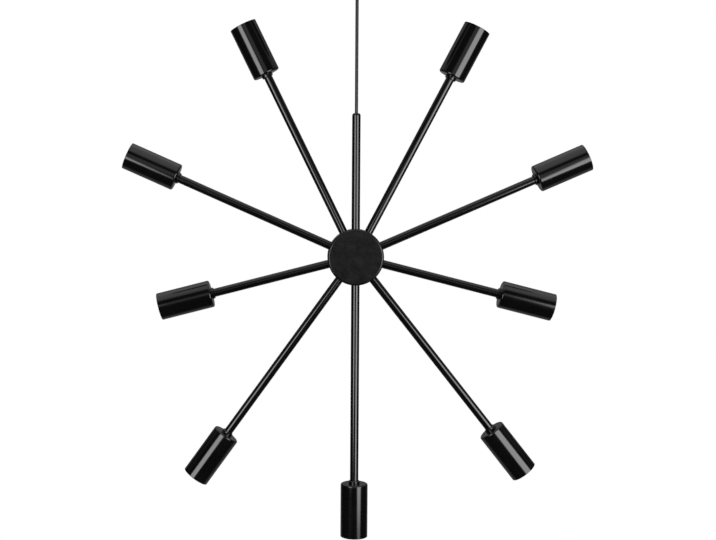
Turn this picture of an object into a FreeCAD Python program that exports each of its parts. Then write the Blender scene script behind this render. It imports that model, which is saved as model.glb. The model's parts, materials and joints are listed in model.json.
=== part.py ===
import FreeCAD, Part
import math
import os
from FreeCAD import Vector

# A pendant chandelier with straight arms in one vertical plane around a flat round hub.
# Millimetres and degrees. +Z is up, the front is -Y, and z = 0 is the ceiling.
# Bearings are taken from straight up, clockwise as seen from the front.

# Clearances
SEAT_GAP = 0.05  # a screwed or seated cylinder in its hole, on the radius
RUN_GAP = 0.08  # the cord in a bush that turns or slides on it, on the radius
LINK_GAP = 0.3  # between two links of the suspension

# Arms
ARM_BEARINGS = (27.6, 66.4, 104.2, 141.7, 180.0, 215.7, 255.5, 293.8, 333.8)
ARM_LENGTHS = (267, 257, 185, 296.5, 309, 296.5, 185, 257, 267)  # the bare tube of each arm
TUBE_RADIUS = 6.5
NIPPLE_RADIUS = 5.0
NIPPLE_BORE_RADIUS = 3.8
NIPPLE_GRIP = 12.0  # how far a nipple reaches into a tube

# Hub
HUB_RADIUS = 43.4
HUB_DEPTH = 30.0
HUB_WALL = 3.0
HUB_FACE_WALL = 2.5
HUB_EDGE_RADIUS = 3.5
COVER_THICKNESS = 2.0
COVER_EDGE_RADIUS = 0.8
PORT_RIM = 0.4  # the flat of a port shows this far around its tube
FLAT_DEPTH = 0.2  # the least depth of the flats that the tubes and nuts seat on
NUT_ACROSS_FLATS = 14.0
NUT_THICKNESS = 3.5
NUT_ROOM = 0.5  # the inner flat shows this far around the nut's corners
NIPPLE_END = 2.0  # the nipple past its nut
BOSS_COUNT = 3
BOSS_BEARING = 82.0
BOSS_CIRCLE_RADIUS = 31.0
BOSS_RADIUS = 3.0
JUNCTION_RADIUS = 13.0
JUNCTION_DEPTH = 14.0
PEDESTAL_RADIUS = 6.0
JUNCTION_SCREW_LENGTH = 18.0

# Small screws
SCREW_RADIUS = 1.5
SCREW_HEAD_RADIUS = 2.8
SCREW_LENGTH = 10.0
SLOT_WIDTH = 0.8
SLOT_DEPTH = 0.7
SCREW_HEAD = SCREW_HEAD_RADIUS - SCREW_RADIUS  # the height of a 90 degree head

# Lamp head
CUP_RADIUS = 21.1
CUP_LENGTH = 83.8
CUP_WALL = 1.2
CUP_EDGE_RADIUS = 2.6
CUP_LIP_RADIUS = 0.5  # on both edges of the mouth
COLLAR_RADIUS = 8.7
COLLAR_LENGTH = 4.4
COLLAR_SOCKET = 1.9  # the depth of the collar's recess for the tube
COLLAR_CHAMFER = 1.0
HOLDER_RADIUS = 19.2
HOLDER_CAP_LENGTH = 20.0
HOLDER_BODY_LENGTH = 37.0
HOLDER_WALL = 1.8
HOLDER_FLOOR = 6.0
HOLDER_ENTRY_RADIUS = 8.5
HOLDER_ENTRY_LENGTH = 10.0
SHELL_BORE_RADIUS = 13.25
SHELL_WALL = 0.5
CONTACT_HEIGHT = 3.2  # from the holder's floor up to the start of the shell
CONTACT_RADIUS = 5.0
CONTACT_DOME_RADIUS = 2.4
LEAD_RADIUS = 1.6

# Cord and stem
CORD_RADIUS = 2.5
STEM_LENGTH = 174.0  # the stem's tube, without its rounded top
STEM_SHOULDER_RADIUS = 3.8
STEM_SHOULDER_HEIGHT = 5.0
STEM_BUSH_SPIGOT = 14.0
CORD_IN_BUSH = 10.0  # how far the hanging cord reaches into the stem
HUB_DROP = 480.0  # the hub's centre below the ceiling

# Ceiling plate, hook and ring
PLATE_LENGTH = 62.0
PLATE_WIDTH = 24.0
PLATE_THICKNESS = 2.0
PLATE_HOLE_SPACING = 44.0
PLATE_HOLE_RADIUS = 2.6
HOOK_WIRE_RADIUS = 2.0
HOOK_BEND_RADIUS = 7.0
HOOK_DROP = 24.0  # the lowest point of the hook's wire, on its centre line
HOOK_TIP_RISE = 4.0
HOOK_TIP_EDGE_RADIUS = 1.2
HOOK_FLANGE_RADIUS = 4.5
HOOK_FLANGE_THICKNESS = 2.0
RING_RADIUS = 7.5
RING_WIRE_RADIUS = 1.5

# Cord clamp
EYE_RADIUS = 5.5
EYE_HOLE_RADIUS = 2.6
EYE_THICKNESS = 3.0
EYE_DROP = 7.0  # from the eye's centre to the clamp's top
CLAMP_WIDTH = 20.0
CLAMP_DEPTH = 14.0
CLAMP_HEIGHT = 16.0
CLAMP_SPLIT = 0.6
CLAMP_SCREW_OFFSET = 6.5
CLAMP_SCREW_SHORT = 1.0  # how far a clamp screw stays inside the back half
CORE_Y = 3.5  # the cores leave the back half of the clamp here
CLAMP_ROOF = 3.0  # the clamp above the end of the cord

# Terminal block
TERMINAL_WAYS = 2
TERMINAL_PITCH = 8.0
TERMINAL_SIDE_WALL = 4.5  # from the outer way's centre to the block's end
TERMINAL_DEPTH = 18.0
TERMINAL_HEIGHT = 10.0
TERMINAL_HOLE_RADIUS = 1.7
TERMINAL_SCREW_LENGTH = 4.0
TERMINAL_GAP = 2.5  # between the clamp and the block
CORE_RADIUS = 0.9
CORE_BEND_RADIUS = 2.4
CORE_RISE = 1.5  # the straight part of a core above the clamp
CORE_GRIP = 6.0  # how far a core reaches into the block

# Canopy
CANOPY_RADIUS = 45.0
CANOPY_HEIGHT = 60.0
CANOPY_WALL = 1.5
CANOPY_EDGE_RADIUS = 9.0
CANOPY_GAP = 6.0  # between the canopy's rim and the ceiling
BUSH_RADIUS = 8.0
BUSH_LENGTH = 8.0
BUSH_EDGE_RADIUS = 1.5
BUSH_NECK_END = 1.0  # the neck past its nut

# Places along an arm, from the hub's centre
PORT_SEAT = math.sqrt(HUB_RADIUS**2 - (TUBE_RADIUS + PORT_RIM) ** 2) - FLAT_DEPTH
NUT_SEAT = HUB_RADIUS - HUB_WALL + FLAT_DEPTH
NUT_CORNER_RADIUS = NUT_ACROSS_FLATS / math.sqrt(3)
NIPPLE_START = NUT_SEAT - NUT_THICKNESS - NIPPLE_END
NIPPLE_HOLE_RADIUS = NIPPLE_RADIUS + SEAT_GAP
TUBE_ENDS = [PORT_SEAT + length for length in ARM_LENGTHS]
CUP_STARTS = [end + COLLAR_LENGTH - COLLAR_SOCKET for end in TUBE_ENDS]
STEM_BUSH_SEAT = PORT_SEAT + STEM_LENGTH
STEM_TOP = STEM_BUSH_SEAT + STEM_SHOULDER_HEIGHT

# Places along a lamp head, from the outer face of the cup's end
HOLDER_CAP_SEAT = CUP_WALL
HOLDER_SEAT = HOLDER_CAP_SEAT + HOLDER_CAP_LENGTH
HOLDER_BORE_FLOOR = HOLDER_SEAT + HOLDER_FLOOR
HOLDER_MOUTH = HOLDER_SEAT + HOLDER_BODY_LENGTH
SHELL_RADIUS = SHELL_BORE_RADIUS + SHELL_WALL
SHELL_START = HOLDER_BORE_FLOOR + CONTACT_HEIGHT
SHELL_LENGTH = HOLDER_MOUTH - HOLDER_WALL - SHELL_START

# Heights in the suspension
HOOK_Z = -HOOK_DROP
RING_Z = HOOK_Z + HOOK_WIRE_RADIUS + LINK_GAP + RING_WIRE_RADIUS - RING_RADIUS
RING_LOW_Z = RING_Z - RING_RADIUS
RING_RISE = RING_RADIUS - math.sqrt(RING_RADIUS**2 - (EYE_THICKNESS / 2) ** 2)
EYE_Z = RING_LOW_Z + RING_WIRE_RADIUS + RING_RISE + LINK_GAP - EYE_HOLE_RADIUS
CLAMP_TOP_Z = EYE_Z - EYE_DROP
CORD_TOP_Z = CLAMP_TOP_Z - CLAMP_ROOF
CORD_END_Z = STEM_TOP - CORD_IN_BUSH - HUB_DROP
CANOPY_TOP_Z = -CANOPY_GAP
CANOPY_BASE_Z = CANOPY_TOP_Z - CANOPY_HEIGHT
CANOPY_FLOOR_Z = CANOPY_BASE_Z + CANOPY_WALL
TERMINAL_Y = CLAMP_DEPTH / 2 + TERMINAL_GAP
TERMINAL_Z = CLAMP_TOP_Z + CORE_RISE + CORE_BEND_RADIUS

X, Y, Z = Vector(1, 0, 0), Vector(0, 1, 0), Vector(0, 0, 1)
ORIGIN = Vector(0, 0, 0)
BOSS_BEARINGS = [BOSS_BEARING + 360 / BOSS_COUNT * i for i in range(BOSS_COUNT)]


def rod(radius, low, high):
    return Part.makeCylinder(radius, high - low, Vector(0, 0, low))


def pipe(radius, bore, low, high):
    return rod(radius, low, high).cut(rod(bore, low, high))


def block(width, depth, height, centre):
    corner = centre - Vector(width / 2, depth / 2, height / 2)
    return Part.makeBox(width, depth, height, corner)


def turned(outline):
    """The solid that a closed outline of (radius, height) points sweeps around Z."""
    points = [Vector(radius, 0, height) for radius, height in outline]
    return Part.Face(Part.makePolygon(points + points[:1])).revolve(ORIGIN, Z, 360)


def rounded(shape, size, radius, height):
    """Fillets the circular edges of that radius, around Z at that height."""
    edges = [
        edge
        for edge in shape.Edges
        if isinstance(edge.Curve, Part.Circle)
        and abs(edge.Curve.Radius - radius) < 1e-6
        and abs(edge.Curve.Center.z - height) < 1e-6
    ]
    return shape.makeFillet(size, edges)


def hex_nut(bore, low):
    corners = [
        Vector(
            NUT_CORNER_RADIUS * math.cos(math.radians(60 * i)),
            NUT_CORNER_RADIUS * math.sin(math.radians(60 * i)),
            low,
        )
        for i in range(7)
    ]
    body = Part.Face(Part.makePolygon(corners)).extrude(Z * NUT_THICKNESS)
    return body.cut(rod(bore, low, low + NUT_THICKNESS))


def screw(length):
    """A slotted countersunk screw with its head's face at Z 0 and its shank below."""
    rim = SCREW_HEAD_RADIUS
    body = turned([(0, 0), (rim, 0), (SCREW_RADIUS, -SCREW_HEAD), (SCREW_RADIUS, -length), (0, -length)])
    return body.cut(block(2 * rim, SLOT_WIDTH, 2 * SLOT_DEPTH, ORIGIN))


def countersink(depth):
    """What that screw takes out of a piece that is depth thick, with its face at Z 0."""
    rim, hole = SCREW_HEAD_RADIUS + SEAT_GAP, SCREW_RADIUS + SEAT_GAP
    return turned([(0, 0), (rim, 0), (hole, -SCREW_HEAD), (hole, -depth), (0, -depth)])


def facing_down(shape, height):
    """Turns a shape made with its top at Z 0 upside down, and lifts that end to height."""
    shape = shape.copy()
    shape.rotate(ORIGIN, X, 180)
    shape.translate(Z * height)
    return shape


def grub_screw(length):
    """A slotted screw with no head, its outer face at Z 0."""
    slot = block(4 * SCREW_RADIUS, SLOT_WIDTH, 2 * SLOT_DEPTH, ORIGIN)
    return rod(SCREW_RADIUS, -length, 0).cut(slot)


def outward(shape, bearing):
    """Turns a shape made along Z onto a bearing, about the hub's centre."""
    shape = shape.copy()
    shape.rotate(ORIGIN, Y, bearing)
    shape.translate(Vector(0, 0, -HUB_DROP))
    return shape


def to_front(shape):
    """Turns a shape made along Z so that its top faces the front, at the hub's height."""
    shape = shape.copy()
    shape.rotate(ORIGIN, X, 90)
    shape.translate(Vector(0, 0, -HUB_DROP))
    return shape


def to_back(shape, y, z):
    """Turns a shape made along Z so that its top faces the back, and moves it."""
    shape = shape.copy()
    shape.rotate(ORIGIN, X, -90)
    shape.translate(Vector(0, y, z))
    return shape


def on_hub_face(shape, radius, bearing):
    """Moves a shape made along Z to a radius and bearing on the hub, before to_front."""
    shape = shape.copy()
    angle = math.radians(bearing)
    shape.translate(Vector(radius * math.sin(angle), radius * math.cos(angle), 0))
    return shape


# ------------------------------------------------------------------ hub

HUB_FRONT = HUB_DEPTH / 2
COVER_SEAT = COVER_THICKNESS - HUB_DEPTH / 2


def port_cutters():
    """What each arm and the stem take out of the hub's wall: a hole and a flat on each side."""
    hole = rod(NIPPLE_HOLE_RADIUS, NIPPLE_START, HUB_RADIUS + 1)
    outer_flat = rod(TUBE_RADIUS + PORT_RIM, PORT_SEAT, HUB_RADIUS + 1)
    inner_flat = rod(NUT_CORNER_RADIUS + NUT_ROOM, NUT_SEAT - HUB_WALL, NUT_SEAT)
    cutter = hole.fuse([outer_flat, inner_flat])
    return [outward(cutter, bearing) for bearing in (0,) + ARM_BEARINGS]


def hub_shell():
    """A drum with a closed face, drawn in one piece, with posts for the cover's screws."""
    drum = rod(HUB_RADIUS, COVER_SEAT, HUB_FRONT)
    drum = rounded(drum, HUB_EDGE_RADIUS, HUB_RADIUS, HUB_FRONT)
    drum = drum.cut(rod(HUB_RADIUS - HUB_WALL, COVER_SEAT, HUB_FRONT - HUB_FACE_WALL))
    boss = pipe(BOSS_RADIUS, SCREW_RADIUS + SEAT_GAP, COVER_SEAT, HUB_FRONT - HUB_FACE_WALL)
    bosses = [on_hub_face(boss, BOSS_CIRCLE_RADIUS, bearing) for bearing in BOSS_BEARINGS]
    pedestal = rod(PEDESTAL_RADIUS, JUNCTION_DEPTH / 2, HUB_FRONT - HUB_FACE_WALL)
    pedestal = pedestal.cut(rod(SCREW_RADIUS + SEAT_GAP, 0, HUB_FRONT - HUB_FACE_WALL))
    drum = to_front(drum.fuse(bosses + [pedestal]))
    return drum.cut(port_cutters())


def hub_back_cover():
    cover = rod(HUB_RADIUS, -HUB_DEPTH / 2, COVER_SEAT)
    cover = rounded(cover, COVER_EDGE_RADIUS, HUB_RADIUS, -HUB_DEPTH / 2)
    sink = facing_down(countersink(HUB_DEPTH), -HUB_DEPTH / 2)
    sinks = [on_hub_face(sink, BOSS_CIRCLE_RADIUS, bearing) for bearing in BOSS_BEARINGS]
    return to_front(cover.cut(sinks))


def hub_cover_screws():
    one = facing_down(screw(SCREW_LENGTH), -HUB_DEPTH / 2)
    return [to_front(on_hub_face(one, BOSS_CIRCLE_RADIUS, b)) for b in BOSS_BEARINGS]


def hub_nipples():
    nipple = pipe(NIPPLE_RADIUS, NIPPLE_BORE_RADIUS, NIPPLE_START, PORT_SEAT + NIPPLE_GRIP)
    return [outward(nipple, bearing) for bearing in (0,) + ARM_BEARINGS]


def hub_lock_nuts():
    nut = hex_nut(NIPPLE_HOLE_RADIUS, NUT_SEAT - NUT_THICKNESS)
    return [outward(nut, bearing) for bearing in (0,) + ARM_BEARINGS]


def junction_block():
    """The round block in the hub where the leads of the arms meet the cord."""
    body = rod(JUNCTION_RADIUS, -JUNCTION_DEPTH / 2, JUNCTION_DEPTH / 2)
    return to_front(body.cut(facing_down(countersink(2 * JUNCTION_DEPTH), -JUNCTION_DEPTH / 2)))


def junction_screw():
    return to_front(facing_down(screw(JUNCTION_SCREW_LENGTH), -JUNCTION_DEPTH / 2))


# ------------------------------------------------------------------ arms

def arm_tube(bearing, end):
    tube = pipe(TUBE_RADIUS, NIPPLE_HOLE_RADIUS, PORT_SEAT, end)
    return outward(tube, bearing)


def cup_collar(bearing, cup_start):
    """The ring between tube and cup, with a recess that the tube's end sits in."""
    low = cup_start - COLLAR_LENGTH
    socket = TUBE_RADIUS + SEAT_GAP
    ring = turned(
        [
            (socket, low),
            (COLLAR_RADIUS - COLLAR_CHAMFER, low),
            (COLLAR_RADIUS, low + COLLAR_CHAMFER),
            (COLLAR_RADIUS, cup_start),
            (NIPPLE_HOLE_RADIUS, cup_start),
            (NIPPLE_HOLE_RADIUS, low + COLLAR_SOCKET),
            (socket, low + COLLAR_SOCKET),
        ]
    )
    return outward(ring, bearing)


def lamp_nipple(bearing, tube_end, cup_start):
    high = cup_start + HOLDER_CAP_SEAT + HOLDER_ENTRY_LENGTH
    nipple = pipe(NIPPLE_RADIUS, NIPPLE_BORE_RADIUS, tube_end - NIPPLE_GRIP, high)
    return outward(nipple, bearing)


def lamp_cup(bearing, cup_start):
    """A deep-drawn cup, open at its outer end."""
    high = cup_start + CUP_LENGTH
    cup = rounded(rod(CUP_RADIUS, cup_start, high), CUP_EDGE_RADIUS, CUP_RADIUS, cup_start)
    inside = rod(CUP_RADIUS - CUP_WALL, cup_start + CUP_WALL, high)
    inside = rounded(inside, CUP_EDGE_RADIUS - CUP_WALL, CUP_RADIUS - CUP_WALL, cup_start + CUP_WALL)
    entry = rod(NIPPLE_HOLE_RADIUS, cup_start - 1, cup_start + CUP_LENGTH / 2)
    cup = cup.cut([inside, entry])
    for edge_radius in (CUP_RADIUS, CUP_RADIUS - CUP_WALL):
        cup = rounded(cup, CUP_LIP_RADIUS, edge_radius, high)
    return outward(cup, bearing)


def lampholder_cap(bearing, cup_start):
    """The domed rear half of a lampholder, screwed onto the nipple."""
    low = cup_start + HOLDER_CAP_SEAT
    high = low + HOLDER_CAP_LENGTH
    shoulder = low + HOLDER_ENTRY_LENGTH
    cap = turned(
        [
            (NIPPLE_HOLE_RADIUS, low),
            (HOLDER_ENTRY_RADIUS, low),
            (HOLDER_ENTRY_RADIUS, low + 2 * HOLDER_WALL),
            (HOLDER_RADIUS, shoulder),
            (HOLDER_RADIUS, high),
            (HOLDER_RADIUS - HOLDER_WALL, high),
            (HOLDER_RADIUS - HOLDER_WALL, shoulder + HOLDER_WALL),
            (HOLDER_ENTRY_RADIUS, shoulder),
            (NIPPLE_HOLE_RADIUS, shoulder),
        ]
    )
    return outward(cap, bearing)


def lampholder(bearing, cup_start):
    """The front half of a lampholder, around the screw shell, with a lip at its mouth."""
    low = cup_start + HOLDER_SEAT
    floor = cup_start + HOLDER_BORE_FLOOR
    high = cup_start + HOLDER_MOUTH
    bore = SHELL_RADIUS + SEAT_GAP
    rivet = SCREW_RADIUS + SEAT_GAP
    body = turned(
        [
            (rivet, low),
            (HOLDER_RADIUS, low),
            (HOLDER_RADIUS, high),
            (bore + HOLDER_WALL, high),
            (bore, high - HOLDER_WALL),
            (bore, floor),
            (rivet, floor),
        ]
    )
    return outward(body, bearing)


def screw_shell(bearing, cup_start):
    low = cup_start + SHELL_START
    return outward(pipe(SHELL_RADIUS, SHELL_BORE_RADIUS, low, low + SHELL_LENGTH), bearing)


def centre_contact(bearing, cup_start):
    """The brass contact at the bottom of a lampholder, riveted through its floor."""
    floor = cup_start + HOLDER_BORE_FLOOR
    top = cup_start + SHELL_START - SEAT_GAP
    contact = turned(
        [
            (0, cup_start + HOLDER_SEAT),
            (SCREW_RADIUS, cup_start + HOLDER_SEAT),
            (SCREW_RADIUS, floor),
            (CONTACT_RADIUS, floor),
            (CONTACT_RADIUS, floor + SHELL_WALL),
            (CONTACT_DOME_RADIUS, top),
            (0, top),
        ]
    )
    return outward(contact, bearing)


def arm_lead(bearing, cup_start):
    """The lead from the junction block to the back of the lampholder's floor."""
    return outward(rod(LEAD_RADIUS, JUNCTION_RADIUS, cup_start + HOLDER_SEAT), bearing)


# ------------------------------------------------------------------ stem and cord

def stem_tube():
    tube = pipe(TUBE_RADIUS, NIPPLE_HOLE_RADIUS, PORT_SEAT, STEM_BUSH_SEAT)
    return outward(tube, 0).cut(stem_screw_hole())


def stem_screw_hole():
    hole = rod(SCREW_RADIUS + SEAT_GAP, -TUBE_RADIUS, 1)
    return to_back(hole, TUBE_RADIUS, stem_screw_z())


def stem_screw_z():
    return STEM_BUSH_SEAT - STEM_BUSH_SPIGOT / 2 - HUB_DROP


def stem_bush():
    """The rounded top of the stem, which goes down inside the tube and grips the cord."""
    bore = CORD_RADIUS + RUN_GAP
    shoulder = rod(TUBE_RADIUS, STEM_BUSH_SEAT, STEM_TOP)
    shoulder = rounded(shoulder, STEM_SHOULDER_RADIUS, TUBE_RADIUS, STEM_TOP)
    spigot = rod(NIPPLE_RADIUS, STEM_BUSH_SEAT - STEM_BUSH_SPIGOT, STEM_BUSH_SEAT)
    bush = shoulder.fuse(spigot).cut(rod(bore, 0, STEM_TOP + 1))
    return outward(bush, 0).cut(stem_screw_hole())


def stem_grip_screw():
    length = TUBE_RADIUS - CORD_RADIUS - RUN_GAP
    return to_back(grub_screw(length), TUBE_RADIUS, stem_screw_z())


def cord_in_stem():
    return outward(rod(CORD_RADIUS, JUNCTION_RADIUS, STEM_TOP - CORD_IN_BUSH), 0)


def supply_cord():
    """The taut cord, from inside the clamp to inside the stem's bush."""
    return rod(CORD_RADIUS, CORD_END_Z, CORD_TOP_Z)


# ------------------------------------------------------------------ suspension

def hook_place():
    return Vector(0, HOOK_BEND_RADIUS, 0)


def ceiling_plate():
    plate = block(PLATE_LENGTH, PLATE_WIDTH, PLATE_THICKNESS, Vector(0, 0, -PLATE_THICKNESS / 2))
    corners = [edge for edge in plate.Edges if abs(edge.tangentAt(edge.FirstParameter).z) > 0.9]
    plate = plate.makeFillet(PLATE_WIDTH / 4, corners)
    holes = []
    for side in (-1, 1):
        hole = rod(PLATE_HOLE_RADIUS, -PLATE_THICKNESS, 0)
        hole.translate(X * side * PLATE_HOLE_SPACING / 2)
        holes.append(hole)
    socket = rod(HOOK_WIRE_RADIUS + SEAT_GAP, -PLATE_THICKNESS, 0)
    socket.translate(hook_place())
    return plate.cut(holes + [socket])


def ceiling_hook():
    """A hook of round wire with its bend in the YZ plane, riveted into the plate."""
    bend_z = HOOK_Z + HOOK_BEND_RADIUS
    shank = rod(HOOK_WIRE_RADIUS, bend_z, 0)
    flange = rod(HOOK_FLANGE_RADIUS, -PLATE_THICKNESS - HOOK_FLANGE_THICKNESS, -PLATE_THICKNESS)
    shank = shank.fuse(flange)
    shank.translate(hook_place())
    start = Vector(0, HOOK_BEND_RADIUS, bend_z)
    section = Part.Face(Part.Wire(Part.makeCircle(HOOK_WIRE_RADIUS, start, Z)))
    bend = section.revolve(Vector(0, 0, bend_z), X, -180)
    tip = rod(HOOK_WIRE_RADIUS, bend_z, bend_z + HOOK_TIP_RISE)
    tip = rounded(tip, HOOK_TIP_EDGE_RADIUS, HOOK_WIRE_RADIUS, bend_z + HOOK_TIP_RISE)
    tip.translate(-hook_place())
    return shank.fuse([bend, tip]).removeSplitter()


def suspension_ring():
    return Part.makeTorus(RING_RADIUS, RING_WIRE_RADIUS, Vector(0, 0, RING_Z), Y)


def clamp_screw_holes():
    holes = []
    for side in (-1, 1):
        hole = countersink(2 * CLAMP_DEPTH)
        hole.rotate(ORIGIN, X, 90)
        place = Vector(side * CLAMP_SCREW_OFFSET, -CLAMP_DEPTH / 2, CLAMP_TOP_Z - CLAMP_HEIGHT / 2)
        hole.translate(place)
        holes.append(hole)
    return holes


def clamp_half(side):
    """One half of the clamp: side is 1 for the back half and -1 for the front one."""
    depth = (CLAMP_DEPTH - CLAMP_SPLIT) / 2
    middle = Vector(0, side * (CLAMP_SPLIT + depth) / 2, CLAMP_TOP_Z - CLAMP_HEIGHT / 2)
    half = block(CLAMP_WIDTH, depth, CLAMP_HEIGHT, middle)
    groove = rod(CORD_RADIUS, CLAMP_TOP_Z - 2 * CLAMP_HEIGHT, CORD_TOP_Z)
    return half.cut([groove] + clamp_screw_holes())


def clamp_back_half():
    """The half that carries the eye, an upright lug with a round end."""
    low = CLAMP_TOP_Z - CLAMP_ROOF / 2
    lug = block(EYE_THICKNESS, 2 * EYE_RADIUS, EYE_Z - low, Vector(0, 0, (EYE_Z + low) / 2))
    across = Vector(-EYE_THICKNESS / 2, 0, EYE_Z)
    end = Part.makeCylinder(EYE_RADIUS, EYE_THICKNESS, across, X)
    hole = Part.makeCylinder(EYE_HOLE_RADIUS, EYE_THICKNESS, across, X)
    lug = lug.fuse(end).cut(hole)
    half = clamp_half(1).fuse(lug).removeSplitter()
    return half.cut(core_bores())


def clamp_front_half():
    lug_room = block(
        EYE_THICKNESS + 2 * SEAT_GAP,
        2 * EYE_RADIUS + 2 * SEAT_GAP,
        CLAMP_ROOF + 2 * SEAT_GAP,
        Vector(0, 0, CLAMP_TOP_Z),
    )
    return clamp_half(-1).cut(lug_room)


def clamp_screws():
    """Two screws from the front through both halves."""
    screws = []
    for side in (-1, 1):
        one = screw(CLAMP_DEPTH - CLAMP_SCREW_SHORT)
        one.rotate(ORIGIN, X, 90)
        place = Vector(side * CLAMP_SCREW_OFFSET, -CLAMP_DEPTH / 2, CLAMP_TOP_Z - CLAMP_HEIGHT / 2)
        one.translate(place)
        screws.append(one)
    return screws


# ------------------------------------------------------------------ terminals

def terminal_ways():
    middle = (TERMINAL_WAYS - 1) / 2
    return [(way - middle) * TERMINAL_PITCH for way in range(TERMINAL_WAYS)]


def cord_cores():
    """Each core runs up out of the clamp, over in a quarter turn and back into the block."""
    cores = []
    turn = math.sqrt(0.5) * CORE_BEND_RADIUS
    for x in terminal_ways():
        low = Vector(x, CORE_Y, CORD_TOP_Z)
        rise = Vector(x, CORE_Y, CLAMP_TOP_Z + CORE_RISE)
        centre = rise + Y * CORE_BEND_RADIUS
        top = centre + Z * CORE_BEND_RADIUS
        end = Vector(x, TERMINAL_Y + CORE_GRIP, TERMINAL_Z)
        bend = Part.Arc(rise, centre + Vector(0, -turn, turn), top)
        path = Part.Wire([Part.makeLine(low, rise), bend.toShape(), Part.makeLine(top, end)])
        section = Part.Wire(Part.makeCircle(CORE_RADIUS, low, Z))
        cores.append(path.makePipeShell([section], True, False))
    return cores


def core_bores():
    """The two holes in the clamp that the cores leave it by."""
    bores = []
    for x in terminal_ways():
        bore = rod(CORE_RADIUS + SEAT_GAP, CORD_TOP_Z, CLAMP_TOP_Z + 1)
        bore.translate(Vector(x, CORE_Y, 0))
        bores.append(bore)
    return bores


def terminal_screw_places():
    """The outer face of each terminal screw, two to a way, on the block's top."""
    top = TERMINAL_Z + TERMINAL_HEIGHT / 2
    rows = (TERMINAL_Y + TERMINAL_DEPTH / 4, TERMINAL_Y + TERMINAL_DEPTH * 3 / 4)
    return [Vector(x, y, top) for x in terminal_ways() for y in rows]


def terminal_block():
    """A small block with a wire hole through each way and screws over it."""
    width = (TERMINAL_WAYS - 1) * TERMINAL_PITCH + 2 * TERMINAL_SIDE_WALL
    middle = Vector(0, TERMINAL_Y + TERMINAL_DEPTH / 2, TERMINAL_Z)
    body = block(width, TERMINAL_DEPTH, TERMINAL_HEIGHT, middle)
    holes = []
    for x in terminal_ways():
        start = Vector(x, TERMINAL_Y, TERMINAL_Z)
        holes.append(Part.makeCylinder(TERMINAL_HOLE_RADIUS, TERMINAL_DEPTH, start, Y))
    for place in terminal_screw_places():
        hole = rod(SCREW_RADIUS + SEAT_GAP, -TERMINAL_HEIGHT / 2, 0)
        hole.translate(place)
        holes.append(hole)
    return body.cut(holes)


def terminal_screws():
    screws = []
    for place in terminal_screw_places():
        one = grub_screw(TERMINAL_SCREW_LENGTH)
        one.translate(place)
        screws.append(one)
    return screws


# ------------------------------------------------------------------ canopy

def canopy():
    """A drawn cup, open towards the ceiling."""
    cup = rod(CANOPY_RADIUS, CANOPY_BASE_Z, CANOPY_TOP_Z)
    cup = rounded(cup, CANOPY_EDGE_RADIUS, CANOPY_RADIUS, CANOPY_BASE_Z)
    bore = CANOPY_RADIUS - CANOPY_WALL
    inside = rod(bore, CANOPY_FLOOR_Z, CANOPY_TOP_Z)
    inside = rounded(inside, CANOPY_EDGE_RADIUS - CANOPY_WALL, bore, CANOPY_FLOOR_Z)
    return cup.cut([inside, rod(NIPPLE_HOLE_RADIUS, CANOPY_BASE_Z - 1, CANOPY_FLOOR_Z + 1)])


def bush_screw_place(shape):
    """Turns a shape made along Z into the back of the bush, at half its length."""
    return to_back(shape, BUSH_RADIUS, CANOPY_BASE_Z - BUSH_LENGTH / 2)


def canopy_bush():
    """The bush that carries the canopy on the cord, with a threaded neck through its base."""
    low = CANOPY_BASE_Z - BUSH_LENGTH
    body = rounded(rod(BUSH_RADIUS, low, CANOPY_BASE_Z), BUSH_EDGE_RADIUS, BUSH_RADIUS, low)
    neck = rod(NIPPLE_RADIUS, CANOPY_BASE_Z, CANOPY_FLOOR_Z + NUT_THICKNESS + BUSH_NECK_END)
    bore = rod(CORD_RADIUS + RUN_GAP, low - 1, CANOPY_TOP_Z)
    return body.fuse(neck).cut([bore, bush_screw_place(rod(SCREW_RADIUS + SEAT_GAP, -BUSH_RADIUS, 1))])


def canopy_nut():
    return hex_nut(NIPPLE_HOLE_RADIUS, CANOPY_FLOOR_Z)


def canopy_lock_screw():
    return bush_screw_place(grub_screw(BUSH_RADIUS - CORD_RADIUS - RUN_GAP))


# ------------------------------------------------------------------ all sub-parts

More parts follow.
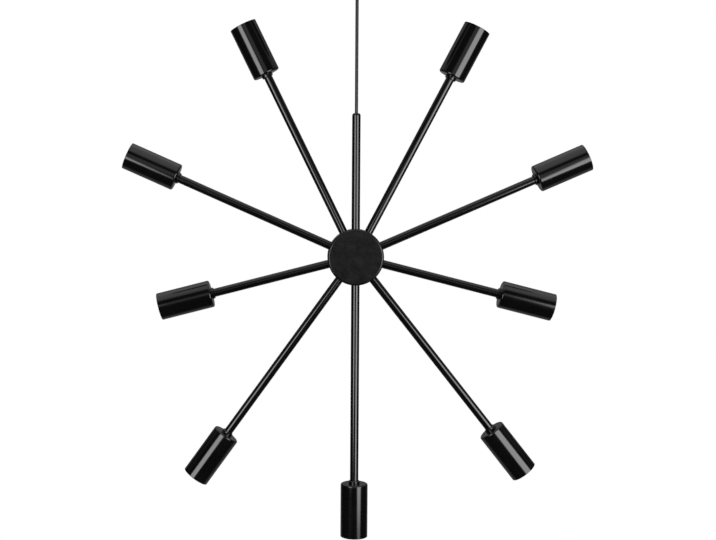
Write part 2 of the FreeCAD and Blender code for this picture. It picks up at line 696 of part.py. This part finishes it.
def sub_parts():
    """Every sub-part by name: one solid, or a list of like solids."""
    arms = list(zip(ARM_BEARINGS, TUBE_ENDS, CUP_STARTS))
    parts = {
        "ceiling_plate": ceiling_plate(),
        "ceiling_hook": ceiling_hook(),
        "suspension_ring": suspension_ring(),
        "clamp_back_half": clamp_back_half(),
        "clamp_front_half": clamp_front_half(),
        "clamp_screws": clamp_screws(),
        "cord_cores": cord_cores(),
        "terminal_block": terminal_block(),
        "terminal_screws": terminal_screws(),
        "supply_cord": supply_cord(),
        "canopy": canopy(),
        "canopy_bush": canopy_bush(),
        "canopy_nut": canopy_nut(),
        "canopy_lock_screw": canopy_lock_screw(),
        "stem_bush": stem_bush(),
        "stem_grip_screw": stem_grip_screw(),
        "stem_tube": stem_tube(),
        "cord_in_stem": cord_in_stem(),
        "hub_shell": hub_shell(),
        "hub_back_cover": hub_back_cover(),
        "hub_cover_screws": hub_cover_screws(),
        "hub_nipples": hub_nipples(),
        "hub_lock_nuts": hub_lock_nuts(),
        "junction_block": junction_block(),
        "junction_screw": junction_screw(),
        "arm_leads": [arm_lead(bearing, start) for bearing, end, start in arms],
        "lamp_nipples": [lamp_nipple(*arm) for arm in arms],
        "cup_collars": [cup_collar(bearing, start) for bearing, end, start in arms],
        "lampholder_caps": [lampholder_cap(bearing, start) for bearing, end, start in arms],
        "screw_shells": [screw_shell(bearing, start) for bearing, end, start in arms],
        "centre_contacts": [centre_contact(bearing, start) for bearing, end, start in arms],
    }
    for number, (bearing, end, start) in enumerate(arms, 1):
        parts[f"arm_tube_{number}"] = arm_tube(bearing, end)
        parts[f"lamp_cup_{number}"] = lamp_cup(bearing, start)
        parts[f"lampholder_{number}"] = lampholder(bearing, start)
    return parts


PARTS = sub_parts()
os.makedirs("parts", exist_ok=True)
for name, shapes in PARTS.items():
    if isinstance(shapes, list):
        shapes = Part.makeCompound([solid for shape in shapes for solid in shape.Solids])
    elif len(shapes.Solids) == 1:
        shapes = shapes.Solids[0]
    if not shapes.isValid():
        print("not valid:", name)
    shapes.exportStep(f"parts/{name}.step")
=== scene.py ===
import json
import math

import bmesh
import bpy
from mathutils import Matrix, Vector


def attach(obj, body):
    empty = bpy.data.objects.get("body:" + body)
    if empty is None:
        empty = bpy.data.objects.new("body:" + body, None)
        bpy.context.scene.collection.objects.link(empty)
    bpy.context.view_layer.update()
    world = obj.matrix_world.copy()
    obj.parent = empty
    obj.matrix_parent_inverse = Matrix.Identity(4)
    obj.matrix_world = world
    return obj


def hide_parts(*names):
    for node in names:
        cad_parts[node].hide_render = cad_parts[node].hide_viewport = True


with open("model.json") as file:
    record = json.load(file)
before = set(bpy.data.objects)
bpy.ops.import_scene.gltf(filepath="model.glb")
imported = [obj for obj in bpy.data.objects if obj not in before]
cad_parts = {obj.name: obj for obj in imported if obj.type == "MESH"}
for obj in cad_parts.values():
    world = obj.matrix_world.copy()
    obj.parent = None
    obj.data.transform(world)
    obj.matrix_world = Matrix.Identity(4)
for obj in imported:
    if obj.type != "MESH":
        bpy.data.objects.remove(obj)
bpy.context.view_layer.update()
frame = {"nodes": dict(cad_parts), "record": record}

# The looks of a black pendant lamp: a flat round hub, straight arms with deep lamp cups
# in one upright plane, a short stem, a taut cord, and a canopy over the ceiling fitting.
# Metres. +Z is up, the front is -Y, and z = 0 is the ceiling.

HUB = Vector((0, 0, -0.48))  # its middle, where the arms meet

# The picture's frame and the viewpoint that it was taken from
PICTURE = (716, 540)
HUB_IN_PICTURE = (355.53, 257.04)  # pixels from the left and from the top
VIEW_AZIMUTH = -2.2  # where the camera stands, seen from the hub
VIEW_ELEVATION = 3.39
VIEW_DISTANCE = 1.95
AIM_AZIMUTH = 1.46  # the way that the lens faces
AIM_ELEVATION = 3.38
TILT = -0.14
FOCAL_PIXELS = 1258.0
SENSOR = 36.0
SIGHT = 30  # nothing is farther from the camera than this

# The cord, from inside the clamp to inside the stem's bush
CORD_DIAMETER = 0.005
CORD_ROUTE = [(0, 0, z) for z in (-0.04585, -0.09, -0.155, -0.22, -0.26835)]
CORD_ROUNDING = 6  # how finely its section is rounded

# The rolled thread of a screw shell
THREAD_PITCH = 0.0036
THREAD_CREST = 0.01235  # the radius inside a crest
THREAD_ROOT = 0.01325
SHELL_THICKNESS = 0.00045
THREAD_STEPS = 36  # to a turn
THREAD_PROFILE = 8  # points to a pitch
SEAM = 1e-6  # points nearer than this are one
SHARP_EDGE = 50  # degrees

# The finishes
NOISE_MIDDLE = (0.3, 0.7)  # most values of a noise are between these
LATHE_RINGS = 16000.0  # radians of their wave to a metre
SATIN_SPECULAR = 0.32
WHITE = (1, 1, 1, 1)

# Where a mixing node takes its two numbers, its two colours and its two shaders
NUMBERS, COLOURS, SHADERS = (2, 3), (6, 7), (1, 2)

# The studio
LAMP_DISTANCE = 2.58
LAMP_TOP = 0.38
LAMP_FADE = 0.35  # the soft rim of a lamp
LAMP_RADIANCE = 6.2
LEFT_LAMP = {"azimuth": -33.8, "width": 1.66, "foot": -1.45, "corner": 0.6}
RIGHT_LAMP = {"azimuth": 39.5, "width": 2.15, "foot": -1.77, "corner": 0.7}
ROOM_LIGHT = 0.25
FLOOR_Z = -2.4
FLOOR_REACH = 4.0
FLOOR_FADE = (0.5, 0.95)  # parts of its reach between which it goes over to white
FLOOR_WHITE = 0.7  # how white it is before that

# What the gloss mirrors around the lamps: how bright each is, and where it begins and is
# full, in the part of the way that points up, back or to the window
SURROUND = 0.02
CEILING, CEILING_UP = 1.0, (0.6, 0.85)
SIDES, SIDES_UP, SIDES_BACK = 0.42, (0.3, 0.58), (-0.55, 0.0)
WALL_BEHIND, WALL_BACK = 0.2, (0.45, 0.85)
WINDOW, WINDOW_RIM = 0.55, (0.956, 0.99)
WINDOW_WAY = (3, 10)  # azimuth and elevation
FLOOR_IN_GLOSS = (0.02, 0.26)  # in front and behind
FLOOR_DEPTH = (0.0, 1.0)  # metres behind the lamp between which it goes from one to the other


# ------------------------------------------------------------------ camera and cord

def from_hub(azimuth, elevation):
    """The direction from the hub to a place at that azimuth and elevation."""
    side, height = math.radians(azimuth), math.radians(elevation)
    flat = math.cos(height)
    return Vector((math.sin(side) * flat, -math.cos(side) * flat, math.sin(height)))


def aimed(place, back, tilt=0.0):
    """The matrix of a camera or lamp at a place, with back as the way behind it."""
    right = Vector((-back.y, back.x, 0)).normalized()
    up = back.cross(right)
    turn = math.radians(tilt)
    across = right * math.cos(turn) - up * math.sin(turn)
    above = right * math.sin(turn) + up * math.cos(turn)
    return Matrix.Translation(place) @ Matrix((across, above, back)).transposed().to_4x4()


def set_camera():
    """The picture's viewpoint; the lens is shifted until the hub is where the picture has it."""
    data = bpy.data.cameras.new("camera")
    camera = bpy.data.objects.new("camera", data)
    bpy.context.collection.objects.link(camera)
    place = HUB + from_hub(VIEW_AZIMUTH, VIEW_ELEVATION) * VIEW_DISTANCE
    camera.matrix_world = aimed(place, from_hub(AIM_AZIMUTH, AIM_ELEVATION), TILT)
    data.sensor_width = SENSOR
    data.sensor_fit = "HORIZONTAL"
    data.lens = FOCAL_PIXELS / PICTURE[0] * SENSOR
    seen = camera.matrix_world.inverted() @ HUB
    across = FOCAL_PIXELS * seen.x / -seen.z
    above = FOCAL_PIXELS * seen.y / -seen.z
    data.shift_x = (PICTURE[0] / 2 + across - HUB_IN_PICTURE[0]) / PICTURE[0]
    data.shift_y = (HUB_IN_PICTURE[1] - PICTURE[1] / 2 + above) / PICTURE[0]
    data.clip_end = SIGHT
    bpy.context.scene.camera = camera


def supply_cord():
    """The taut cord from the clamp to the stem, as a round curve."""
    curve = bpy.data.curves.new("hanging_cord", "CURVE")
    curve.dimensions = "3D"
    spline = curve.splines.new("NURBS")
    spline.points.add(len(CORD_ROUTE) - 1)
    for point, place in zip(spline.points, CORD_ROUTE):
        point.co = (*place, 1)
        point.radius = CORD_DIAMETER / 2
    spline.order_u = 3
    spline.use_endpoint_u = True
    curve.bevel_depth = 1.0
    curve.bevel_resolution = CORD_ROUNDING
    curve.use_fill_caps = True
    cord = bpy.data.objects.new("hanging_cord", curve)
    bpy.context.collection.objects.link(cord)
    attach(cord, "hanger")
    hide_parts("supply_cord")
    return cord


# ------------------------------------------------------------------ screw shells

def rolled_thread(length):
    """One shell of thin sheet with a rolled thread, along Z around the origin."""
    shell = bmesh.new()
    middle = (THREAD_ROOT + THREAD_CREST) / 2
    depth = (THREAD_ROOT - THREAD_CREST) / 2
    turns = math.ceil(length / THREAD_PITCH) + 2
    low = -turns * THREAD_PITCH / 2 - THREAD_PITCH / 2
    line = []
    for step in range(THREAD_PROFILE + 1):
        part = step / THREAD_PROFILE
        radius = middle + depth * math.cos(2 * math.pi * part)
        line.append(shell.verts.new((radius, 0, low + part * THREAD_PITCH)))
    edges = [shell.edges.new(pair) for pair in zip(line, line[1:])]
    bmesh.ops.spin(
        shell,
        geom=line + edges,
        cent=(0, 0, 0),
        axis=(0, 0, 1),
        dvec=(0, 0, THREAD_PITCH / THREAD_STEPS),
        angle=2 * math.pi * turns,
        steps=THREAD_STEPS * turns,
    )
    bmesh.ops.remove_doubles(shell, verts=shell.verts, dist=SEAM)
    for side in (-1, 1):
        bmesh.ops.bisect_plane(
            shell,
            geom=shell.verts[:] + shell.edges[:] + shell.faces[:],
            plane_co=(0, 0, side * length / 2),
            plane_no=(0, 0, side),
            clear_outer=True,
        )
    bmesh.ops.recalc_face_normals(shell, faces=shell.faces)
    bmesh.ops.solidify(shell, geom=shell.faces[:], thickness=SHELL_THICKNESS)
    bmesh.ops.recalc_face_normals(shell, faces=shell.faces)
    return shell


def screw_shells():
    """The brass shells of all the lampholders, in the place that the sockets' mounts give."""
    sockets = [m for m in frame["record"]["mounts"] if m["name"].startswith("lamp_socket")]
    length = sockets[0]["dims"]["length_mm"] / 1000
    one = bpy.data.meshes.new("one_shell")
    pattern = rolled_thread(length)
    pattern.to_mesh(one)
    pattern.free()
    every = bmesh.new()
    for socket in sockets:
        before = len(every.verts)
        every.from_mesh(one)
        every.verts.ensure_lookup_table()
        turn = Vector((0, 0, 1)).rotation_difference(Vector(socket["axis"])).to_matrix().to_4x4()
        place = Matrix.Translation(socket["pos_m"]) @ turn
        bmesh.ops.transform(every, matrix=place, verts=every.verts[before:])
    for face in every.faces:
        face.smooth = True
    mesh = bpy.data.meshes.new("threaded_shells")
    every.to_mesh(mesh)
    every.free()
    bpy.data.meshes.remove(one)
    shells = bpy.data.objects.new("threaded_shells", mesh)
    bpy.context.collection.objects.link(shells)
    mesh.set_sharp_from_angle(angle=math.radians(SHARP_EDGE))
    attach(shells, "lamp")
    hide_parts("screw_shells")
    return shells


# ------------------------------------------------------------------ finishes

def add(tree, kind, inputs=None, **settings):
    """Adds a node; an input is a number, a colour or another node's socket."""
    node = tree.nodes.new(kind)
    for name, value in settings.items():
        setattr(node, name, value)
    for name, value in (inputs or {}).items():
        if isinstance(value, bpy.types.NodeSocket):
            tree.links.new(value, node.inputs[name])
        else:
            node.inputs[name].default_value = value
    return node


def smooth_step(tree, value, start, end):
    """Goes from 0 to 1, without a kink, as the value goes from start to end."""
    inputs = {"Value": value, "From Min": start, "From Max": end}
    step = add(tree, "ShaderNodeMapRange", inputs, interpolation_type="SMOOTHSTEP")
    return step.outputs["Result"]


def maths(tree, operation, first, second=0):
    return add(tree, "ShaderNodeMath", {0: first, 1: second}, operation=operation).outputs[0]


def mixed_number(tree, share, first, second):
    inputs = {"Factor": share, NUMBERS[0]: first, NUMBERS[1]: second}
    return add(tree, "ShaderNodeMix", inputs).outputs[0]


def mixed_colour(tree, share, first, second):
    inputs = {"Factor": share, COLOURS[0]: first, COLOURS[1]: second}
    return add(tree, "ShaderNodeMix", inputs, data_type="RGBA").outputs[2]


def mixed_shader(tree, share, first, second):
    inputs = {"Fac": share, SHADERS[0]: first.outputs[0], SHADERS[1]: second.outputs[0]}
    return add(tree, "ShaderNodeMixShader", inputs)


def noise(tree, place, scale, detail=2.0, roughness=0.5):
    inputs = {"Vector": place, "Scale": scale, "Detail": detail, "Roughness": roughness}
    return add(tree, "ShaderNodeTexNoise", inputs).outputs["Fac"]


def spread(tree, value, low, high):
    """Maps the middle of a noise's range to the values from low to high."""
    start, end = NOISE_MIDDLE
    inputs = {"Value": value, "From Min": start, "From Max": end, "To Min": low, "To Max": high}
    return add(tree, "ShaderNodeMapRange", inputs).outputs["Result"]


def tones(tree, value, dark, light):
    """A colour from dark to light as the value goes through the middle of a noise."""
    return mixed_colour(tree, spread(tree, value, 0.0, 1.0), (*dark, 1), (*light, 1))


def relief(tree, heights):
    """A chain of bumps, each a pair of a height and how deep it is in metres."""
    normal = None
    for height, depth in heights:
        inputs = {"Height": height, "Distance": depth, "Strength": 1.0}
        if normal:
            inputs["Normal"] = normal
        normal = add(tree, "ShaderNodeBump", inputs).outputs["Normal"]
    return normal


def new_finish(name, metallic=0.0):
    """A material with its shader and the coordinates of the piece."""
    material = bpy.data.materials.new(name)
    material.use_nodes = True
    tree = material.node_tree
    shader = tree.nodes["Principled BSDF"]
    shader.inputs["Metallic"].default_value = metallic
    place = add(tree, "ShaderNodeTexCoord").outputs["Object"]
    return material, tree, shader, place


def dress(tree, shader, colour, roughness, normal):
    """Joins the finish's colour, roughness and relief to its shader."""
    tree.links.new(colour, shader.inputs["Base Color"])
    tree.links.new(roughness, shader.inputs["Roughness"])
    tree.links.new(normal, shader.inputs["Normal"])


def stretched(tree, place, scales):
    return add(tree, "ShaderNodeMapping", {"Vector": place, "Scale": scales}).outputs["Vector"]


def gloss_enamel(name):
    """Sprayed and stoved gloss black: faint orange peel, faint waves, a little dust."""
    material, tree, shader, place = new_finish(name)
    peel = noise(tree, place, 260, 1.5)
    waves = noise(tree, place, 35, 1.0)
    cloud = noise(tree, place, 22, 6.0, 0.6)
    dust = noise(tree, place, 1700, 1.0)
    colour = tones(tree, cloud, (0.0016, 0.0016, 0.0018), (0.003, 0.003, 0.0032))
    roughness = spread(tree, cloud, 0.10, 0.145)
    normal = relief(tree, [(waves, 3e-5), (peel, 5e-6), (dust, 4e-7)])
    dress(tree, shader, colour, roughness, normal)
    return material


def satin_enamel(name):
    """Fine satin black powder coat, slightly mottled."""
    material, tree, shader, place = new_finish(name)
    grain = noise(tree, place, 1300, 2.0)
    mottle = noise(tree, place, 75, 5.0, 0.65)
    colour = tones(tree, mottle, (0.0022, 0.0022, 0.0023), (0.0066, 0.0066, 0.0069))
    roughness = spread(tree, mottle, 0.19, 0.27)
    shader.inputs["Specular IOR Level"].default_value = SATIN_SPECULAR
    dress(tree, shader, colour, roughness, relief(tree, [(mottle, 2e-4), (grain, 2e-6)]))
    return material


def zinc_plate(name, dark, light, stretch):
    """Bright zinc on rolled steel, with the fine lines of the rolling."""
    material, tree, shader, place = new_finish(name, metallic=1.0)
    lines = noise(tree, stretched(tree, place, stretch), 1, 4.0, 0.6)
    cloud = noise(tree, place, 160, 5.0, 0.6)
    colour = tones(tree, cloud, dark, light)
    roughness = spread(tree, lines, 0.24, 0.40)
    dress(tree, shader, colour, roughness, relief(tree, [(lines, 1.0e-5), (cloud, 1.2e-5)]))
    return material


def bare_brass(name):
    """Pressed brass, a little dulled in patches."""
    material, tree, shader, place = new_finish(name, metallic=1.0)
    stain = noise(tree, place, 240, 6.0, 0.65)
    fine = noise(tree, place, 2600, 2.0)
    colour = tones(tree, stain, (0.56, 0.40, 0.17), (0.83, 0.64, 0.30))
    roughness = spread(tree, stain, 0.38, 0.22)
    dress(tree, shader, colour, roughness, relief(tree, [(stain, 1.2e-5), (fine, 2e-6)]))
    return material


def cord_rubber(name):
    """The smooth, slightly waxy jacket of a round cord, with faint drawing lines."""
    material, tree, shader, place = new_finish(name)
    drawn = noise(tree, stretched(tree, place, (2600, 2600, 60)), 1, 2.0)
    bloom = noise(tree, place, 120, 5.0, 0.6)
    colour = tones(tree, bloom, (0.006, 0.006, 0.0065), (0.012, 0.012, 0.0125))
    roughness = spread(tree, bloom, 0.38, 0.5)
    dress(tree, shader, colour, roughness, relief(tree, [(drawn, 1.2e-5), (bloom, 1.5e-5)]))
    return material


def core_sleeves(name):
    """Brown on the left core and blue on the right one."""
    material, tree, shader, place = new_finish(name)
    cloud = noise(tree, place, 500, 4.0)
    brown = tones(tree, cloud, (0.11, 0.038, 0.014), (0.15, 0.055, 0.022))
    blue = tones(tree, cloud, (0.012, 0.06, 0.26), (0.02, 0.09, 0.34))
    side = add(tree, "ShaderNodeSeparateXYZ", {"Vector": place}).outputs["X"]
    colour = mixed_colour(tree, maths(tree, "GREATER_THAN", side), brown, blue)
    roughness = spread(tree, cloud, 0.34, 0.44)
    dress(tree, shader, colour, roughness, relief(tree, [(cloud, 1e-5)]))
    return material


def moulded(name, dark, light, roughness, cloud_scale=110, grain_scale=2400, grain_depth=6e-6):
    """Moulded plastic: faint flow clouds and the fine grain of the mould."""
    material, tree, shader, place = new_finish(name)
    flow = noise(tree, place, cloud_scale, 4.0, 0.55)
    grain = noise(tree, place, grain_scale, 2.0)
    colour = tones(tree, flow, dark, light)
    shine = spread(tree, flow, *roughness)
    dress(tree, shader, colour, shine, relief(tree, [(flow, 1.5e-5), (grain, grain_depth)]))
    return material


def turned_plastic(name):
    """Black nylon with the fine rings of the lathe."""
    material, tree, shader, place = new_finish(name)
    height = add(tree, "ShaderNodeSeparateXYZ", {"Vector": place}).outputs["Z"]
    groove = maths(tree, "SINE", maths(tree, "MULTIPLY", height, LATHE_RINGS))
    cloud = noise(tree, place, 200, 4.0)
    colour = tones(tree, cloud, (0.008, 0.008, 0.009), (0.015, 0.015, 0.016))
    roughness = spread(tree, cloud, 0.34, 0.46)
    dress(tree, shader, colour, roughness, relief(tree, [(groove, 4e-6), (cloud, 1e-5)]))
    return material


def finishes():
    """The finish of every slot in the record."""
    rolled, pressed = (60, 1500, 1500), (1300, 1300, 90)
    return {
        "black_enamel": gloss_enamel("black_enamel"),
        "black_satin": satin_enamel("black_satin"),
        "zinc_steel": zinc_plate("zinc_steel", (0.54, 0.54, 0.53), (0.70, 0.70, 0.68), rolled),
        "clamp_steel": zinc_plate("clamp_steel", (0.44, 0.44, 0.44), (0.60, 0.60, 0.58), pressed),
        "brass": bare_brass("brass"),
        "cord_jacket": cord_rubber("cord_jacket"),
        "core_sleeve": core_sleeves("core_sleeve"),
        "lead_sleeve": moulded(
            "lead_sleeve", (0.66, 0.65, 0.60), (0.78, 0.77, 0.73), (0.30, 0.42)
        ),
        "terminal_plastic": moulded(
            "terminal_plastic", (0.74, 0.73, 0.69), (0.84, 0.83, 0.79), (0.36, 0.48)
        ),
        "holder_plastic": moulded(
            "holder_plastic", (0.009, 0.009, 0.0095), (0.018, 0.018, 0.018), (0.36, 0.5), 70
        ),
        "bush_plastic": turned_plastic("bush_plastic"),
    }


def dress_pieces(materials, cord, shells):
    """Gives each CAD node the finish of its slot in the record, and the new pieces theirs."""
    for part in frame["record"]["subparts"]:
        node = frame["nodes"][part["node"]]
        for slot in node.material_slots:
            slot.material = materials[part["material_slot"]]
    cord.data.materials.append(materials["cord_jacket"])
    shells.data.materials.append(materials["brass"])


# ------------------------------------------------------------------ studio

def softbox(name, azimuth, width, foot, corner):
    """An upright lamp with round corners, which faces the hub and fades towards its rim."""
    height = LAMP_TOP - foot
    data = bpy.data.lights.new(name, "AREA")
    data.shape = "RECTANGLE"
    data.size, data.size_y = width, height
    data.energy = LAMP_RADIANCE * width * height * math.pi
    data.use_nodes = True
    tree = data.node_tree
    over = add(tree, "ShaderNodeNewGeometry").outputs["Parametric"]
    parts = add(tree, "ShaderNodeSeparateXYZ", {"Vector": over})
    past = {}
    for axis, size in (("X", width), ("Y", height)):
        middle = maths(tree, "SUBTRACT", parts.outputs[axis], 0.5)
        away = maths(tree, "MULTIPLY", maths(tree, "ABSOLUTE", middle), size)
        past[axis] = maths(tree, "MAXIMUM", maths(tree, "SUBTRACT", away, size / 2 - corner), 0)
    rim = add(tree, "ShaderNodeCombineXYZ", past).outputs["Vector"]
    reach = add(tree, "ShaderNodeVectorMath", {0: rim}, operation="LENGTH").outputs["Value"]
    strength = smooth_step(tree, reach, corner, corner - LAMP_FADE)
    tree.links.new(strength, tree.nodes["Emission"].inputs["Strength"])
    lamp = bpy.data.objects.new(name, data)
    bpy.context.collection.objects.link(lamp)
    back = from_hub(azimuth, 0)
    place = back * LAMP_DISTANCE + Vector((0, 0, (LAMP_TOP + foot) / 2))
    lamp.matrix_world = aimed(place, back)
    lamp.visible_camera = False


def set_world():
    """White where it is looked at; the gloss mirrors a dim room under a pale ceiling."""
    world = bpy.data.worlds.new("studio")
    bpy.context.scene.world = world
    world.use_nodes = True
    tree = world.node_tree
    way = add(tree, "ShaderNodeTexCoord").outputs["Generated"]
    parts = add(tree, "ShaderNodeSeparateXYZ", {"Vector": way})
    aim = {0: way, 1: from_hub(*WINDOW_WAY)}
    near = add(tree, "ShaderNodeVectorMath", aim, operation="DOT_PRODUCT").outputs["Value"]
    behind, height = parts.outputs["Y"], parts.outputs["Z"]
    raised = maths(tree, "MULTIPLY", smooth_step(tree, height, *SIDES_UP), SIDES)
    lights = [
        maths(tree, "MULTIPLY", smooth_step(tree, height, *CEILING_UP), CEILING),
        maths(tree, "MULTIPLY", smooth_step(tree, near, *WINDOW_RIM), WINDOW),
        maths(tree, "MULTIPLY", smooth_step(tree, behind, *SIDES_BACK), raised),
        maths(tree, "MULTIPLY", smooth_step(tree, behind, *WALL_BACK), WALL_BEHIND),
    ]
    room = SURROUND
    for light in lights:
        room = maths(tree, "MAXIMUM", light, room)
    path = add(tree, "ShaderNodeLightPath")
    mirrored, seen = path.outputs["Is Glossy Ray"], path.outputs["Is Camera Ray"]
    plain = maths(tree, "MAXIMUM", seen, path.outputs["Is Transmission Ray"])
    unseen = mixed_number(tree, mirrored, ROOM_LIGHT, room)
    background = tree.nodes["Background"]
    background.inputs["Color"].default_value = WHITE
    tree.links.new(mixed_number(tree, plain, unseen, 1.0), background.inputs["Strength"])


def set_floor():
    """A pale floor, far below, that fades into the white and isn't seen from under it."""
    shape = bmesh.new()
    bmesh.ops.create_grid(shape, x_segments=8, y_segments=8, size=FLOOR_REACH)
    bmesh.ops.translate(shape, verts=shape.verts, vec=(0, 0, FLOOR_Z))
    mesh = bpy.data.meshes.new("floor")
    shape.to_mesh(mesh)
    shape.free()
    floor = bpy.data.objects.new("floor", mesh)
    bpy.context.collection.objects.link(floor)
    material, tree, shader, place = new_finish("pale_floor")
    grain = noise(tree, place, 12, 5.0)
    colour = tones(tree, grain, (0.78, 0.78, 0.77), (0.82, 0.82, 0.81))
    dress(tree, shader, colour, spread(tree, grain, 0.5, 0.6), relief(tree, [(grain, 1e-4)]))
    away = add(tree, "ShaderNodeVectorMath", {0: place, 1: (1, 1, 0)}, operation="MULTIPLY")
    reach = add(tree, "ShaderNodeVectorMath", {0: away.outputs["Vector"]}, operation="LENGTH")
    start, end = (FLOOR_REACH * part for part in FLOOR_FADE)
    rim = smooth_step(tree, reach.outputs["Value"], start, end)
    white = maths(tree, "MAXIMUM", rim, FLOOR_WHITE)
    path = add(tree, "ShaderNodeLightPath")
    mirrored = path.outputs["Is Glossy Ray"]
    depth = add(tree, "ShaderNodeSeparateXYZ", {"Vector": place}).outputs["Y"]
    tone = mixed_number(tree, smooth_step(tree, depth, *FLOOR_DEPTH), *FLOOR_IN_GLOSS)
    strength = mixed_number(tree, mirrored, 1.0, tone)
    light = add(tree, "ShaderNodeEmission", {"Color": WHITE, "Strength": strength})
    looked_at = maths(tree, "MULTIPLY", white, path.outputs["Is Camera Ray"])
    above = mixed_shader(tree, maths(tree, "MAXIMUM", looked_at, mirrored), shader, light)
    under = add(tree, "ShaderNodeNewGeometry").outputs["Backfacing"]
    surface = mixed_shader(tree, under, above, add(tree, "ShaderNodeBsdfTransparent"))
    tree.links.new(surface.outputs[0], tree.nodes["Material Output"].inputs["Surface"])
    mesh.materials.append(material)


# ------------------------------------------------------------------ all of it

set_camera()
cord = supply_cord()
shells = screw_shells()
dress_pieces(finishes(), cord, shells)
softbox("left_softbox", **LEFT_LAMP)
softbox("right_softbox", **RIGHT_LAMP)
set_world()
set_floor()
bpy.context.scene.view_settings.view_transform = "Standard"

bpy.context.view_layer.update()
